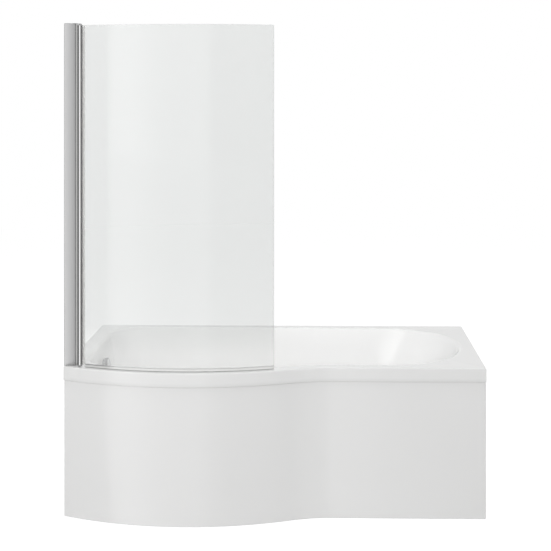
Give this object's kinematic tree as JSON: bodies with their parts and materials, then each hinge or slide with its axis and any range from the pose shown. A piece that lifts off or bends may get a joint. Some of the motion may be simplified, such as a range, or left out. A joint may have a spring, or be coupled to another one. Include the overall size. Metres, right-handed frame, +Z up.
{
  "type": "shower bath",
  "caption": "White b-shaped shower bath: wide rounded shower end, curved front panel, adjustable feet, pop-up waste with overflow, and a hinged curved glass screen",
  "frame": {"origin": "centre of the bounding box in plan, on the floor the feet stand on", "axes": "+X runs along the bath from the shower end, where the screen's channel is, to the head end; +Y points to the wall along the back, so the curved panel faces -Y; +Z is up"},
  "size_m": [1.7, 0.85, 1.9912],
  "materials": {
    "acrylic": "white gloss acrylic",
    "panel": "white satin acrylic",
    "board": "chipboard under white fibreglass",
    "timber": "planed softwood",
    "zinc_steel": "bright zinc plate",
    "fasteners": "bright zinc plate",
    "foot_plastic": "moulded black plastic",
    "chrome": "polished chrome plate",
    "waste_plastic": "moulded white plastic",
    "trap_plastic": "moulded white polypropylene",
    "hose_plastic": "ribbed grey plastic",
    "cable_jacket": "smooth dark plastic",
    "gasket_rubber": "black rubber",
    "aluminium": "satin silver anodised",
    "cap_plastic": "moulded grey plastic",
    "glass": "clear toughened glass",
    "seal_vinyl": "clear flexible vinyl"
  },
  "bodies": {
    "bath": {"bath_shell": "acrylic", "base_board": "board", "back_batten": "timber", "front_batten": "timber", "end_battens": "timber", "cross_bars": "zinc_steel", "bar_screws": "fasteners", "foot_nuts": "fasteners", "centre_plate": "zinc_steel", "plate_screws": "fasteners", "wall_brackets": "zinc_steel", "bracket_screws": "fasteners", "front_panel": "panel", "floor_blocks": "timber", "panel_clips": "zinc_steel", "clip_screws": "fasteners", "waste_flange": "chrome", "waste_gasket": "gasket_rubber", "waste_body": "waste_plastic", "trap_nut": "waste_plastic", "trap_body": "trap_plastic", "outlet_seal": "gasket_rubber", "outlet_nut": "waste_plastic", "overflow_gasket": "gasket_rubber", "overflow_body": "waste_plastic", "overflow_plate": "chrome", "overflow_hose": "hose_plastic", "hose_nuts": "waste_plastic", "popup_cable": "cable_jacket", "wall_channel": "aluminium", "hinge_post": "aluminium", "adjust_screws": "fasteners", "channel_cap": "cap_plastic", "pivot_blocks": "aluminium", "hinge_pins": "fasteners"},
    "screen": {"glass_rail": "aluminium", "rail_caps": "cap_plastic", "rail_gasket": "seal_vinyl", "glass_panel": "glass", "bottom_seal": "seal_vinyl"},
    "knob": {"overflow_knob": "chrome"},
    "plug": {"popup_plug": "chrome", "plug_seal": "gasket_rubber"},
    "foot_back_left": {"stud_back_left": "fasteners", "pad_back_left": "foot_plastic"},
    "foot_front_left": {"stud_front_left": "fasteners", "pad_front_left": "foot_plastic"},
    "foot_back_right": {"stud_back_right": "fasteners", "pad_back_right": "foot_plastic"},
    "foot_front_right": {"stud_front_right": "fasteners", "pad_front_right": "foot_plastic"},
    "foot_centre": {"stud_centre": "fasteners", "pad_centre": "foot_plastic"}
  },
  "joints": [
    {"name": "screen_hinge", "type": "hinge", "parent": "bath", "child": "screen", "pos_m": [-0.787, -0.32085, 1.2992], "axis": [0, 0, -1], "range_deg": [-60, 90]},
    {"name": "knob_turn", "type": "hinge", "parent": "bath", "child": "knob", "pos_m": [-0.75872, 0.035, 0.514], "axis": [0.985, 0, 0.1724], "range_deg": [0, 90]},
    {"name": "plug_lift", "type": "slide", "parent": "bath", "child": "plug", "axis": [0, 0, 1], "range_m": [0, 0.009]},
    {"name": "foot_back_left_screw", "type": "slide", "parent": "bath", "child": "foot_back_left", "axis": [0, 0, -1], "range_m": [0, 0.025]},
    {"name": "foot_front_left_screw", "type": "slide", "parent": "bath", "child": "foot_front_left", "axis": [0, 0, -1], "range_m": [0, 0.025]},
    {"name": "foot_back_right_screw", "type": "slide", "parent": "bath", "child": "foot_back_right", "axis": [0, 0, -1], "range_m": [0, 0.025]},
    {"name": "foot_front_right_screw", "type": "slide", "parent": "bath", "child": "foot_front_right", "axis": [0, 0, -1], "range_m": [0, 0.025]},
    {"name": "foot_centre_screw", "type": "slide", "parent": "bath", "child": "foot_centre", "axis": [0, 0, -1], "range_m": [0, 0.012]}
  ],
  "couplings": [
    {"joint": "plug_lift", "follows": "knob_turn", "m_per_rad": 0.005729}
  ]
}
